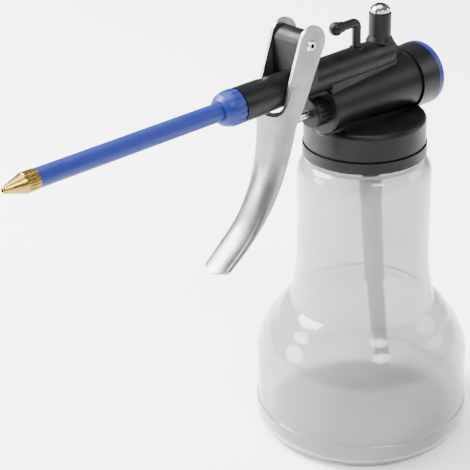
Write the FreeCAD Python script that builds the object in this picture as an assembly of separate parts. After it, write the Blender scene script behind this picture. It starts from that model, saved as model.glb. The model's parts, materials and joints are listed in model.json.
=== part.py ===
"""Hand-lever pump oiler for gear oil: clear bottle, moulded pump head, trigger lever and rigid spout.

Millimetres, +Z up. The origin is the centre of the bottle's base, which rests on z = 0. The spout
points to -X, the piston works along X, and every pump axis lies in the plane y = 0.
"""
import FreeCAD, Part
import math
import os

from FreeCAD import Vector as V

# ---- bottle ---------------------------------------------------------------------------------
BASE_R = 40.5            # radius of the foot band
BASE_EDGE_R = 6.6        # rounding under the foot band
FOOT_BAND_TOP = 11.0
BELLY_R = 39.9
BELLY_TOP = 32.5         # the straight wall ends here
DOME_R = 33.2            # a point where the dome turns into the straight slope
DOME_Z = 46.2
CREASE_R = 27.3          # crease where the slope meets the hollow column foot
CREASE_Z = 53.0
COLUMN_R = 24.5
COLUMN_BOTTOM = 76.0
COLUMN_TOP = 104.5
BEAD_R = 21.8            # ledge under the cap
BEAD_Z = 110.2
BEAD_H = 1.2             # height of the ledge's edge
BEAD_SLOPE = 0.4         # rise of the ledge's top towards the neck
FOOT_STEP = 1.4          # height of the step above the foot band
BELLY_BEND = (37.9, 39.0)        # points on the outer bends, each (radius, z)
SHOULDER_BEND = (30.5, 50.1)
HOLLOW_BEND = (25.5, 62.0)
TOP_BEND = (23.6, 108.2)
INNER_BELLY_BEND = (36.35, 38.4)     # points on the inner bends, each (radius, z)
INNER_SHOULDER_BEND = (29.3, 49.0)
INNER_HOLLOW_BEND = (23.9, 62.0)
INNER_TOP_BEND = (21.4, 107.0)
WALL = 1.6
FLOOR = 2.2
FLOOR_CORNER = 3.5       # size of the bend between floor and wall
FLOOR_BEND = 1.0         # how far that bend's middle stands off both
NECK_R = 18.2            # root of the neck thread
RIM_Z = 120.4
NECK_BORE = 16.4

# ---- screw thread between neck and cap ------------------------------------------------------
PITCH = 4.0
THREAD_H = 1.2
THREAD_FOOT_W = 2.2      # width where the ridge is sunk into the wall
THREAD_TIP_W = 1.2
CAP_BORE = 19.8
THREAD_Z = 114.2         # both ridges start here, half a turn apart
THREAD_TURNS = 1.25

# ---- cap, the skirt of the pump head ----------------------------------------------------------
CAP_R = 22.0
CAP_BOTTOM = 112.4
CAP_GROOVE_Z = 116.7
CAP_TOP = 126.5
CAP_EDGE_R = 1.6
CAP_BAND_OUT = 0.45      # how far the lower band stands out
CAP_GROOVE_HALF = 0.3
CAP_GROOVE_DEPTH = 0.4
CAP_INSIDE_TOP = 121.6
GASKET_T = 1.1

# ---- pump cylinder ----------------------------------------------------------------------------
PUMP_Z = 134.4
PUMP_FRONT = -23.0
PUMP_REAR = 18.5
PUMP_FRONT_R = 8.6
PUMP_REAR_R = 11.0
BORE_R = 6.0
BORE_FRONT = -12.9
CHAMBER_END = 12.5
REAR_SOCKET_R = 9.0
PUMP_EDGE_R = 0.8
WEB_FRONT = -17.6        # web between cylinder and cap
WEB_REAR = 16.0
WEB_HALF = 7.6
WEB_SINK = 1.5
WEB_TOP = PUMP_Z - 1.0
NOSE_X = -15.2           # round nose of the web
NOSE_R = 7.2
NOSE_DROP = 2.6
NOSE_EDGE_R = 1.5
REAR_SEAL_T = 1.0
REAR_SEAL_OUT = 1.2
REAR_SPIGOT_GAP = 0.05
REAR_CAP_WALL = 2.0
REAR_CAP_HOLLOW_R = 6.4
DISC_OVER = 0.05         # how far the disc stands over the cap's rim
DISC_EDGE_R = 0.7
DISC_RING_R = 9.0        # inside of the disc's rim, which sits in the recess
DISC_RING_GAP = 0.4
CAP_ROOM_GAP = 0.3
REAR_CAP_R = 11.7
REAR_CAP_END = 27.0
DISC_SOCKET_R = 10.6     # recess of the rear cap that takes the blue disc
DISC_SOCKET_DEPTH = 2.6
DISC_END = 29.7

# ---- delivery barrel --------------------------------------------------------------------------
BARREL_Z = 147.0
BARREL_R = 5.75
BARREL_FRONT = -62.0
BARREL_REAR = 11.5
COLLAR_END = -50.6
COLLAR_OUT = 0.25
BARREL_EDGE_R = 3.0
SPIGOT_R = 4.4
SPIGOT_FRONT = -65.8
GALLERY_R = 1.5
SADDLE_HALF = 5.2        # half width of the neck between barrel and cylinder
SADDLE_FRONT = -22.2
SADDLE_REAR = 10.5

# ---- rod, piston and gland --------------------------------------------------------------------
ROD_R = 1.6
RUN = 0.05               # radial clearance of a running fit
SEAL_GAP = 0.02          # the same round a seal ring
ROD_TIP = -47.62         # just clear of the lever's inner face
PISTON_FRONT = -12.4
PISTON_LENGTH = 4.0
GLAND_FRONT = -28.6
GLAND_R = 5.2
GLAND_SHANK_R = 3.9
GLAND_SHANK_END = -16.0
GLAND_SEAL_T = 2.4
GLAND_EDGE_R = 0.6
GLAND_GAP = 0.08         # radial clearance between rod and nut
ROD_WAY_GAP = 0.3        # the same in the moulding behind the packing
GLAND_FLUTES = 18
GLAND_FLUTE_R = 0.55
GLAND_FLUTE_OUT = 0.25   # a flute's centre lies this far outside the nut
GLAND_FLUTE_START = 1.2
PISTON_LAND = 1.2        # each side of the ring's groove
PISTON_GROOVE = 1.3
TAIL_PAST = 1.0
RETURN_COIL_R = 4.2
RETURN_WIRE_R = 0.5
TAIL_R = 1.0             # the rod's thin end, inside the piston
WIRE_SIDES = 8

# ---- trigger lever ----------------------------------------------------------------------------
PIVOT_X = -34.6
PIVOT_Z = 162.1
LEVER_HALF = 7.2
SHEET = 1.1
LUG_R = 4.6
LUG_HALF = 5.8
PIN_R = 1.5
PIN_HEAD_R = 2.0

# ---- delivery valve post and cock ---------------------------------------------------------------
POST_X = 7.0
POST_R = 4.0
POST_TOP = 162.2
VALVE_BORE_R = 2.6
VALVE_SEAT_Z = 142.2
BALL_R = 2.1
SEAT_GAP = 0.02          # the balls hang this far over their seats
POST_FOOT_OUT = 1.0
POST_FOOT_H = 2.0
POST_FOOT_Z = 152.15
RIB_HALF = 2.4
RIB_OUTLINE = [(7.0, 155.0), (11.0, 152.4), (16.3, 146.4), (16.3, 140.0), (7.0, 140.0)]   # behind the post
DELIVERY_COIL_R = 1.75
DELIVERY_WIRE_R = 0.28
SPRING_TURNS = 8.0
SCREW_SHANK_BOTTOM = 157.0
SCREW_R = 3.55
SCREW_TOP = 165.6
SCREW_RIM = 1.0          # height of the head's straight rim
PLUG_SEAL_T = 0.5
RECESS_LENGTH = 3.8
RECESS_WIDTH = 0.8
RECESS_DEPTH = 1.5
COCK_X = -5.0
COCK_STEM_R = 1.6
COCK_PLUG_R = 2.4
COCK_ARM_Z = 161.6
COCK_BALL_X = -15.3
COCK_BALL_R = 2.45
COCK_BEND_R = 1.9
COCK_PLUG_TOP = 150.2
COCK_PLUG_END = 1.0      # plug below the passage
COCK_GROOVE_LOW = 148.9
COCK_GROOVE_HIGH = 149.7
COCK_GROOVE_DEPTH = 0.6
COCK_NECK = (1.6, 3.0)   # thicker neck beside the ball, from and to, off its centre
COCK_NECK_OUT = 0.3
COCK_BUSH_TOP = BARREL_Z + BARREL_R
COCK_BUSH_BOTTOM = BARREL_Z + 3.4

# ---- suction side ---------------------------------------------------------------------------------
SUCTION_X = 3.0
SUCTION_SOCKET_R = 4.4
SUCTION_BORE_R = 2.4
SUCTION_SEAT_Z = 116.6
BOSS_HEIGHT = 4.6
SOCKET_SINK = 0.6        # how far the valve body goes into the cap's top
FLANGE_T = 1.6
PORT_R = 1.3             # inlet under each valve ball
SLEEVE_R = 3.9
TUBE_R = 3.0
TUBE_BORE_R = 1.9
SUCTION_PORT_R = 1.2
BOSS_WALL = 2.0
CAGE_FLANGE_OUT = 1.6
CAGE_NARROW = 0.9        # how much thinner the valve body is under its flange
TUBE_ROUTE = [(5.2, 82.0), (7.0, 60.0), (9.9, 35.0), (14.4, 10.5)]

# ---- spout ----------------------------------------------------------------------------------------
NUT_REAR = -62.6
NUT_FRONT = -69.8
NUT_R = 6.1
NUT_FLUTES = 16
FLANGE_FRONT = -68.4     # front of the spout's flange, inside the nut
WASHER_T = 1.0
SPOUT_R = 3.15
SPOUT_BORE_R = 1.8
NOZZLE_SOCKET_R = 2.3
SPOUT_FRONT = -142.0
NOZZLE_TIP = -153.5
NOZZLE_CONE = -146.4
NOZZLE_R = 3.3
ORIFICE_R = 0.6
ORIFICE_LENGTH = 4.0
SOCKET_DEPTH = 6.5       # how far the nozzle's shank goes into the spout
NOZZLE_FLUTES = 20


# ---- helpers ----------------------------------------------------------------------------------------
def rod_x(x0, x1, r, z):
    """A solid cylinder along X from x0 to x1."""
    low, high = min(x0, x1), max(x0, x1)
    return Part.makeCylinder(r, high - low, V(low, 0, z), V(1, 0, 0))


def rod_z(z0, z1, r, x=0.0):
    """A solid cylinder along Z from z0 to z1 at (x, 0)."""
    low, high = min(z0, z1), max(z0, z1)
    return Part.makeCylinder(r, high - low, V(x, 0, low), V(0, 0, 1))


def cone_x(x0, x1, r0, r1, z):
    """A cone along +X, radius r0 at x0 and r1 at x1."""
    return Part.makeCone(r0, r1, x1 - x0, V(x0, 0, z), V(1, 0, 0))


def ring_x(x0, x1, r_out, r_in, z):
    """A plain ring round an X axis."""
    return rod_x(x0, x1, r_out, z).cut(rod_x(x0 - 1, x1 + 1, r_in, z))


def ring_z(z0, z1, r_out, r_in, x=0.0):
    """A plain ring round a Z axis."""
    return rod_z(z0, z1, r_out, x).cut(rod_z(z0 - 1, z1 + 1, r_in, x))


def line(a, b):
    """A straight edge between two points of a half section, each (radius, z)."""
    return Part.LineSegment(V(a[0], 0, a[1]), V(b[0], 0, b[1])).toShape()


def arc(a, m, b):
    """A circular edge through three points of a half section."""
    return Part.Arc(V(a[0], 0, a[1]), V(m[0], 0, m[1]), V(b[0], 0, b[1])).toShape()


def lathe(edges):
    """Turn a closed half section about Z into a solid."""
    face = Part.Face(Part.Wire(edges))
    return face.revolve(V(0, 0, 0), V(0, 0, 1), 360)


def lathe_x(points, z):
    """Turn a closed outline of (x, radius) points about the X axis at height z."""
    corners = [V(x, 0, z + r) for x, r in points]
    face = Part.Face(Part.makePolygon(corners + [corners[0]]))
    return face.revolve(V(0, 0, z), V(1, 0, 0), 360)


def helix_ridge(root_r, out, start_deg):
    """A trapezium ridge that winds round Z; out is +1 for an outside thread and -1 for an inside one."""
    sink = 0.35
    z0 = THREAD_Z
    spine = Part.makeHelix(PITCH, PITCH * THREAD_TURNS, root_r)
    spine.translate(V(0, 0, z0))
    foot = root_r - out * sink
    tip = root_r + out * THREAD_H
    half_foot, half_tip = THREAD_FOOT_W / 2, THREAD_TIP_W / 2
    corners = [V(foot, 0, z0 - half_foot), V(tip, 0, z0 - half_tip), V(tip, 0, z0 + half_tip),
               V(foot, 0, z0 + half_foot)]
    section = Part.makePolygon(corners + [corners[0]])
    ridge = Part.Wire(spine.Edges).makePipeShell([section], True, True)
    ridge.rotate(V(0, 0, 0), V(0, 0, 1), start_deg)
    return ridge


def coil(radius, wire_r, length, turns):
    """A coil spring along +Z from z = 0, of the given mean radius, its wire drawn with eight sides."""
    pitch = (length - 2 * wire_r) / turns
    spine = Part.makeHelix(pitch, length - 2 * wire_r, radius)
    spine.translate(V(0, 0, wire_r))
    corners = []
    for k in range(WIRE_SIDES):
        angle = 2 * math.pi * (k + 0.5) / WIRE_SIDES
        corners.append(V(radius + wire_r * math.cos(angle), 0, wire_r + wire_r * math.sin(angle)))
    section = Part.makePolygon(corners + [corners[0]])
    return Part.Wire(spine.Edges).makePipeShell([section], True, True)


def tube_along(points, radius):
    """A round tube along (x, z) points in the plane y = 0, its corners rounded with large arcs."""
    corners = [V(x, 0, z) for x, z in points]
    edges = []
    start = corners[0]
    for before, corner, after in zip(corners, corners[1:], corners[2:]):
        back, ahead = (before - corner), (after - corner)
        reach = 0.45 * min(back.Length, ahead.Length)
        back.normalize()
        ahead.normalize()
        entry, leave = corner + back * reach, corner + ahead * reach
        half = back.getAngle(ahead) / 2
        bend_r = reach * math.tan(half)
        inward = (back + ahead).normalize()
        middle = corner + inward * (bend_r / math.sin(half) - bend_r)
        edges.append(Part.LineSegment(start, entry).toShape())
        edges.append(Part.Arc(entry, middle, leave).toShape())
        start = leave
    edges.append(Part.LineSegment(start, corners[-1]).toShape())
    direction = corners[1] - corners[0]
    section = Part.Wire(Part.makeCircle(radius, corners[0], direction))
    return Part.Wire(edges).makePipeShell([section], True, False)


# ---- bottle and its gasket ------------------------------------------------------------------------
def make_bottle():
    """Blow-moulded bottle: foot band, domed belly, hollow shoulder, column, ledge and threaded neck."""
    edge = BASE_EDGE_R * (1 - math.sqrt(0.5))
    inner_r = BELLY_R - WALL
    outside = [
        line((0, 0), (BASE_R - BASE_EDGE_R, 0)),
        arc((BASE_R - BASE_EDGE_R, 0), (BASE_R - edge, edge), (BASE_R, BASE_EDGE_R)),
        line((BASE_R, BASE_EDGE_R), (BASE_R, FOOT_BAND_TOP)),
        line((BASE_R, FOOT_BAND_TOP), (BELLY_R, FOOT_BAND_TOP + FOOT_STEP)),
        line((BELLY_R, FOOT_BAND_TOP + FOOT_STEP), (BELLY_R, BELLY_TOP)),
        arc((BELLY_R, BELLY_TOP), BELLY_BEND, (DOME_R, DOME_Z)),
        arc((DOME_R, DOME_Z), SHOULDER_BEND, (CREASE_R, CREASE_Z)),
        arc((CREASE_R, CREASE_Z), HOLLOW_BEND, (COLUMN_R, COLUMN_BOTTOM)),
        line((COLUMN_R, COLUMN_BOTTOM), (COLUMN_R, COLUMN_TOP)),
        arc((COLUMN_R, COLUMN_TOP), TOP_BEND, (BEAD_R, BEAD_Z)),
        line((BEAD_R, BEAD_Z), (BEAD_R, BEAD_Z + BEAD_H)),
        line((BEAD_R, BEAD_Z + BEAD_H), (NECK_R, BEAD_Z + BEAD_H + BEAD_SLOPE)),
        line((NECK_R, BEAD_Z + BEAD_H + BEAD_SLOPE), (NECK_R, RIM_Z)),
    ]
    inside = [
        line((NECK_R, RIM_Z), (NECK_BORE, RIM_Z)),
        line((NECK_BORE, RIM_Z), (NECK_BORE, BEAD_Z - 0.5)),
        arc((NECK_BORE, BEAD_Z - 0.5), INNER_TOP_BEND, (COLUMN_R - WALL, COLUMN_TOP - 1.0)),
        line((COLUMN_R - WALL, COLUMN_TOP - 1.0), (COLUMN_R - WALL, COLUMN_BOTTOM)),
        arc((COLUMN_R - WALL, COLUMN_BOTTOM), INNER_HOLLOW_BEND, (CREASE_R - WALL, CREASE_Z - 0.6)),
        arc((CREASE_R - WALL, CREASE_Z - 0.6), INNER_SHOULDER_BEND, (DOME_R - WALL, DOME_Z - 0.9)),
        arc((DOME_R - WALL, DOME_Z - 0.9), INNER_BELLY_BEND, (inner_r, BELLY_TOP)),
        line((inner_r, BELLY_TOP), (inner_r, FLOOR + FLOOR_CORNER)),
        arc((inner_r, FLOOR + FLOOR_CORNER), (inner_r - FLOOR_BEND, FLOOR + FLOOR_BEND),
            (inner_r - FLOOR_CORNER, FLOOR)),
        line((inner_r - FLOOR_CORNER, FLOOR), (0, FLOOR)),
        line((0, FLOOR), (0, 0)),
    ]
    body = lathe(outside + inside)
    return body.fuse(helix_ridge(NECK_R, 1, 0))


def make_neck_gasket():
    """Flat ring that seals the neck's rim against the cap."""
    return ring_z(RIM_Z, RIM_Z + GASKET_T, NECK_R, NECK_BORE - 0.4)


# ---- pump head --------------------------------------------------------------------------------------
def cap_skirt():
    """Cap body with its lower band, its groove and a rounded top edge."""
    cap = rod_z(CAP_BOTTOM, CAP_TOP, CAP_R)
    top_edges = [e for e in cap.Edges if abs(e.BoundBox.ZMin - CAP_TOP) < 1e-6 and e.BoundBox.ZLength < 1e-6]
    cap = cap.makeFillet(CAP_EDGE_R, top_edges)
    band = rod_z(CAP_BOTTOM, CAP_GROOVE_Z - CAP_GROOVE_HALF, CAP_R + CAP_BAND_OUT)
    groove = ring_z(CAP_GROOVE_Z - CAP_GROOVE_HALF, CAP_GROOVE_Z + CAP_GROOVE_HALF, CAP_R + 2,
                    CAP_R - CAP_GROOVE_DEPTH)
    return cap.fuse(band).cut(groove)


def pump_cylinder():
    """Outside of the pump cylinder, with the web that carries it on the cap."""
    cylinder = cone_x(PUMP_FRONT, PUMP_REAR, PUMP_FRONT_R, PUMP_REAR_R, PUMP_Z)
    front_edge = [e for e in cylinder.Edges if abs(e.BoundBox.XMax - PUMP_FRONT) < 1e-6]
    cylinder = cylinder.makeFillet(PUMP_EDGE_R, front_edge)
    web = Part.makeBox(WEB_REAR - WEB_FRONT, 2 * WEB_HALF, WEB_TOP - CAP_TOP + WEB_SINK,
                       V(WEB_FRONT, -WEB_HALF, CAP_TOP - WEB_SINK))
    nose = rod_z(CAP_TOP - NOSE_DROP, WEB_TOP, NOSE_R, NOSE_X)
    low_edge = [e for e in nose.Edges if abs(e.BoundBox.ZMax - CAP_TOP + NOSE_DROP) < 1e-6]
    nose = nose.makeFillet(NOSE_EDGE_R, low_edge)
    return cylinder.fuse(web).fuse(nose)


def delivery_barrel():
    """Outside of the barrel, the saddle under it and its spigot for the spout."""
    barrel = rod_x(BARREL_FRONT, BARREL_REAR, BARREL_R, BARREL_Z)
    collar = rod_x(BARREL_FRONT, COLLAR_END, BARREL_R + COLLAR_OUT, BARREL_Z)
    spigot = rod_x(SPIGOT_FRONT, BARREL_FRONT, SPIGOT_R, BARREL_Z)
    saddle = Part.makeBox(SADDLE_REAR - SADDLE_FRONT, 2 * SADDLE_HALF, BARREL_Z - PUMP_Z,
                          V(SADDLE_FRONT, -SADDLE_HALF, PUMP_Z))
    rear_edge = [e for e in barrel.Edges if abs(e.BoundBox.XMin - BARREL_REAR) < 1e-6]
    barrel = barrel.makeFillet(BARREL_EDGE_R, rear_edge)
    return barrel.fuse([collar, spigot, saddle])


def pivot_lug():
    """Upright lug on the barrel that carries the lever's pin."""
    lug = Part.makeBox(2 * LUG_R, 2 * LUG_HALF, PIVOT_Z - BARREL_Z, V(PIVOT_X - LUG_R, -LUG_HALF, BARREL_Z))
    eye = Part.makeCylinder(LUG_R, 2 * LUG_HALF, V(PIVOT_X, -LUG_HALF, PIVOT_Z), V(0, 1, 0))
    return lug.fuse(eye)


def valve_post():
    """Post for the delivery valve, with its flared foot and the rib behind it."""
    post = rod_z(BARREL_Z, POST_TOP, POST_R, POST_X)
    foot = Part.makeCone(POST_R + POST_FOOT_OUT, POST_R, POST_FOOT_H, V(POST_X, 0, POST_FOOT_Z), V(0, 0, 1))
    corners = [V(x, -RIB_HALF, z) for x, z in RIB_OUTLINE]
    rib = Part.Face(Part.makePolygon(corners + [corners[0]])).extrude(V(0, 2 * RIB_HALF, 0))
    return post.fuse([foot, rib])


def suction_boss():
    """Boss inside the cap that takes the suction valve."""
    return rod_z(CAP_INSIDE_TOP - BOSS_HEIGHT, CAP_INSIDE_TOP + 1, SUCTION_SOCKET_R + BOSS_WALL, SUCTION_X)


def head_cavities():
    """Every bore and passage of the pump head."""
    gland_bore = rod_x(PUMP_FRONT - 1, GLAND_SHANK_END + GLAND_SEAL_T, GLAND_SHANK_R, PUMP_Z)
    rod_way = rod_x(PUMP_FRONT, BORE_FRONT + 1, ROD_R + ROD_WAY_GAP, PUMP_Z)
    pump_bore = rod_x(BORE_FRONT, CHAMBER_END + 1, BORE_R, PUMP_Z)
    rear_socket = rod_x(CHAMBER_END, PUMP_REAR + 1, REAR_SOCKET_R, PUMP_Z)
    seal_recess = rod_x(PUMP_REAR - REAR_SEAL_T, PUMP_REAR + 1, REAR_SOCKET_R + REAR_SEAL_OUT, PUMP_Z)
    gallery = rod_x(SPIGOT_FRONT - 1, POST_X, GALLERY_R, BARREL_Z)
    valve_bore = rod_z(VALVE_SEAT_Z, POST_TOP + 1, VALVE_BORE_R, POST_X)
    valve_port = rod_z(PUMP_Z, VALVE_SEAT_Z + 1, PORT_R, POST_X)
    cock_bore = rod_z(BARREL_Z - COCK_PLUG_R - 1.2, BARREL_Z + 9, COCK_PLUG_R + RUN, COCK_X)
    suction_socket = rod_z(CAP_INSIDE_TOP - 6, CAP_INSIDE_TOP + SOCKET_SINK, SUCTION_SOCKET_R, SUCTION_X)
    cap_room = rod_x(PUMP_REAR, CAP_R + 4, REAR_CAP_R + CAP_ROOM_GAP, PUMP_Z)
    suction_port = rod_z(CAP_INSIDE_TOP, PUMP_Z, SUCTION_PORT_R, SUCTION_X)
    pin_start = V(PIVOT_X, -LUG_HALF - 1, PIVOT_Z)
    pin_bore = Part.makeCylinder(PIN_R + RUN, 2 * LUG_HALF + 2, pin_start, V(0, 1, 0))
    return [gland_bore, rod_way, pump_bore, rear_socket, seal_recess, gallery, valve_bore, valve_port,
            cock_bore, suction_socket, suction_port, pin_bore, cap_room]


def make_pump_head():
    """The one black moulding: threaded cap, pump cylinder, delivery barrel, pivot lug and valve post."""
    skirt_inside = rod_z(CAP_BOTTOM - 1, CAP_INSIDE_TOP, CAP_BORE)
    skirt = cap_skirt().cut(skirt_inside)
    skirt = skirt.fuse(helix_ridge(CAP_BORE, -1, 180))
    head = skirt.fuse([pump_cylinder(), delivery_barrel(), pivot_lug(), valve_post(), suction_boss()])
    return head.cut(head_cavities()).removeSplitter()


# ---- gland, rod, piston and spring -----------------------------------------------------------------
def make_gland_nut():
    """Ribbed gland nut screwed into the front of the cylinder."""
    head = rod_x(GLAND_FRONT, PUMP_FRONT, GLAND_R, PUMP_Z)
    head = head.makeFillet(GLAND_EDGE_R, [e for e in head.Edges if abs(e.BoundBox.XMax - GLAND_FRONT) < 1e-6])
    shank = rod_x(PUMP_FRONT, GLAND_SHANK_END, GLAND_SHANK_R, PUMP_Z)
    nut = head.fuse(shank).cut(rod_x(GLAND_FRONT - 1, GLAND_SHANK_END + 1, ROD_R + GLAND_GAP, PUMP_Z))
    flutes = []
    reach = GLAND_R + GLAND_FLUTE_OUT
    start = GLAND_FRONT + GLAND_FLUTE_START
    for i in range(GLAND_FLUTES):
        angle = 2 * math.pi * i / GLAND_FLUTES
        centre = V(start, reach * math.cos(angle), PUMP_Z + reach * math.sin(angle))
        flutes.append(Part.makeCylinder(GLAND_FLUTE_R, PUMP_FRONT - start, centre, V(1, 0, 0)))
    return nut.cut(flutes)


def make_gland_seal():
    """Soft packing ring between the gland nut and its seat."""
    return ring_x(GLAND_SHANK_END, GLAND_SHANK_END + GLAND_SEAL_T, GLAND_SHANK_R, ROD_R + RUN, PUMP_Z)


def make_piston_rod():
    """Steel rod with a rounded end that the lever pushes, and a thin tail through the piston."""
    rod = rod_x(ROD_TIP + ROD_R, PISTON_FRONT, ROD_R, PUMP_Z)
    nose = Part.makeSphere(ROD_R, V(ROD_TIP + ROD_R, 0, PUMP_Z))
    tail = rod_x(PISTON_FRONT, PISTON_FRONT + PISTON_LENGTH + TAIL_PAST, TAIL_R, PUMP_Z)
    return rod.fuse([nose, tail])


def make_piston():
    """Piston with a groove for its ring."""
    rear = PISTON_FRONT + PISTON_LENGTH
    body = rod_x(PISTON_FRONT, rear, BORE_R - RUN, PUMP_Z)
    groove_r = BORE_R - PISTON_GROOVE
    groove = ring_x(PISTON_FRONT + PISTON_LAND, rear - PISTON_LAND, BORE_R + 1, groove_r, PUMP_Z)
    return body.cut(groove).cut(rod_x(PISTON_FRONT - 1, rear + 1, TAIL_R, PUMP_Z))


def make_piston_seal():
    """Square-section ring in the piston's groove."""
    rear = PISTON_FRONT + PISTON_LENGTH
    groove_r = BORE_R - PISTON_GROOVE
    return ring_x(PISTON_FRONT + PISTON_LAND, rear - PISTON_LAND, BORE_R - SEAL_GAP, groove_r, PUMP_Z)


def make_return_spring():
    """Coil spring between the piston and the rear cap."""
    start = PISTON_FRONT + PISTON_LENGTH
    spring = coil(RETURN_COIL_R, RETURN_WIRE_R, CHAMBER_END - start, SPRING_TURNS)
    spring.rotate(V(0, 0, 0), V(0, 1, 0), 90)
    spring.translate(V(start, 0, PUMP_Z))
    return spring


# ---- rear cap ---------------------------------------------------------------------------------------
def make_rear_cap():
    """Black cap screwed into the rear of the cylinder."""
    rim = rod_x(PUMP_REAR, REAR_CAP_END, REAR_CAP_R, PUMP_Z)
    spigot = rod_x(CHAMBER_END, PUMP_REAR, REAR_SOCKET_R - REAR_SPIGOT_GAP, PUMP_Z)
    hollow = rod_x(CHAMBER_END + REAR_CAP_WALL, REAR_CAP_END + 1, REAR_CAP_HOLLOW_R, PUMP_Z)
    pocket = rod_x(REAR_CAP_END - DISC_SOCKET_DEPTH, REAR_CAP_END + 1, DISC_SOCKET_R, PUMP_Z)
    return rim.fuse(spigot).cut([hollow, pocket])


def make_rear_disc():
    """Blue end disc pressed into the rear cap."""
    disc = rod_x(REAR_CAP_END, DISC_END, REAR_CAP_R + DISC_OVER, PUMP_Z)
    disc = disc.makeFillet(DISC_EDGE_R, [e for e in disc.Edges if abs(e.BoundBox.XMin - DISC_END) < 1e-6])
    ring_end = REAR_CAP_END - DISC_SOCKET_DEPTH + DISC_RING_GAP
    return disc.fuse(ring_x(ring_end, REAR_CAP_END, DISC_SOCKET_R, DISC_RING_R, PUMP_Z))


def make_rear_cap_seal():
    """Flat ring between the rear cap and the cylinder."""
    outer, inner = REAR_SOCKET_R + REAR_SEAL_OUT, REAR_SOCKET_R - REAR_SPIGOT_GAP
    return ring_x(PUMP_REAR - REAR_SEAL_T, PUMP_REAR, outer, inner, PUMP_Z)


# ---- delivery valve and its screw -------------------------------------------------------------------
def make_discharge_ball():
    """Ball on the edge of the delivery port."""
    sit = math.sqrt(BALL_R ** 2 - PORT_R ** 2)
    return Part.makeSphere(BALL_R, V(POST_X, 0, VALVE_SEAT_Z + sit + SEAT_GAP))


def make_discharge_spring():
    """Light spring that holds the ball on its seat."""
    bottom = VALVE_SEAT_Z + BALL_R + math.sqrt(BALL_R ** 2 - PORT_R ** 2) - 0.35
    spring = coil(DELIVERY_COIL_R, DELIVERY_WIRE_R, SCREW_SHANK_BOTTOM - bottom, SPRING_TURNS)
    spring.translate(V(POST_X, 0, bottom))
    return spring


def make_valve_plug_screw():
    """Domed cross-recess screw that closes the post."""
    shank = rod_z(SCREW_SHANK_BOTTOM, POST_TOP, VALVE_BORE_R, POST_X)
    under = POST_TOP + PLUG_SEAL_T
    rim_top = under + SCREW_RIM
    flange = rod_z(under, rim_top, SCREW_R, POST_X)
    stem = rod_z(POST_TOP, under, VALVE_BORE_R, POST_X)
    rise = SCREW_TOP - rim_top
    dome_r = (SCREW_R ** 2 + rise ** 2) / (2 * rise)
    dome = Part.makeSphere(dome_r, V(POST_X, 0, SCREW_TOP - dome_r))
    dome = dome.common(rod_z(rim_top, SCREW_TOP + 1, SCREW_R, POST_X))
    screw = shank.fuse([stem, flange, dome])
    half, side, floor = RECESS_LENGTH / 2, RECESS_WIDTH / 2, SCREW_TOP - RECESS_DEPTH
    slots = [Part.makeBox(RECESS_LENGTH, RECESS_WIDTH, RECESS_DEPTH + 1, V(POST_X - half, -side, floor)),
             Part.makeBox(RECESS_WIDTH, RECESS_LENGTH, RECESS_DEPTH + 1, V(POST_X - side, -half, floor))]
    return screw.cut(slots)


def make_valve_plug_seal():
    """Washer under the screw's head."""
    return ring_z(POST_TOP, POST_TOP + PLUG_SEAL_T, SCREW_R - 0.1, VALVE_BORE_R, POST_X)


# ---- cock in the delivery passage --------------------------------------------------------------------
def make_cock_lever():
    """Cock plug with a cross hole, stem, arm and ball end in one piece."""
    plug = rod_z(BARREL_Z - COCK_PLUG_R - COCK_PLUG_END, COCK_PLUG_TOP, COCK_PLUG_R, COCK_X)
    groove_r = COCK_PLUG_R - COCK_GROOVE_DEPTH
    groove = ring_z(COCK_GROOVE_LOW, COCK_GROOVE_HIGH, COCK_PLUG_R + 1, groove_r, COCK_X)
    plug = plug.cut(groove)
    bend_x, bend_z = COCK_X - COCK_BEND_R, COCK_ARM_Z - COCK_BEND_R
    stem = rod_z(COCK_PLUG_TOP, bend_z, COCK_STEM_R, COCK_X)
    elbow = Part.makeTorus(COCK_BEND_R, COCK_STEM_R, V(bend_x, 0, bend_z), V(0, -1, 0))
    elbow = elbow.common(Part.makeBox(8, 8, 8, V(bend_x, -4, bend_z)))
    arm = rod_x(COCK_BALL_X, bend_x, COCK_STEM_R, COCK_ARM_Z)
    ball = Part.makeSphere(COCK_BALL_R, V(COCK_BALL_X, 0, COCK_ARM_Z))
    neck_start, neck_end = COCK_BALL_X + COCK_NECK[0], COCK_BALL_X + COCK_NECK[1]
    neck = rod_x(neck_start, neck_end, COCK_STEM_R + COCK_NECK_OUT, COCK_ARM_Z)
    lever = plug.fuse([stem, elbow, arm, ball, neck])
    return lever.cut(rod_x(COCK_X - 4, COCK_X + 4, GALLERY_R - 0.1, BARREL_Z))


def make_cock_bush():
    """Bush pressed over the stem that keeps the plug in."""
    return ring_z(COCK_BUSH_BOTTOM, COCK_BUSH_TOP, COCK_PLUG_R + RUN, COCK_STEM_R + RUN, COCK_X)


def make_cock_seal():
    """Ring in the plug's groove."""
    outer, inner = COCK_PLUG_R + RUN - SEAL_GAP, COCK_PLUG_R - COCK_GROOVE_DEPTH
    return ring_z(COCK_GROOVE_LOW, COCK_GROOVE_HIGH, outer, inner, COCK_X)


# ---- suction side --------------------------------------------------------------------------------------
KNEE = (SUCTION_X, 106.2)          # where the valve body turns towards the sleeve
SPIGOT_END = (4.0, 95.0)
SPIGOT_OUT_R = 2.3
SLEEVE_TOP = (3.45, 101.2)
SLEEVE_BOTTOM = (7.2, 57.5)
SLEEVE_BORE_R = 1.6


def straight_tube(a, b, r_out, r_in):
    """A straight tube between two (x, z) points."""
    start, end = V(a[0], 0, a[1]), V(b[0], 0, b[1])
    way = end - start
    solid = Part.makeCylinder(r_out, way.Length, start, way)
    if r_in:
        solid = solid.cut(Part.makeCylinder(r_in, way.Length + 2, start - way.normalize(), way))
    return solid


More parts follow.
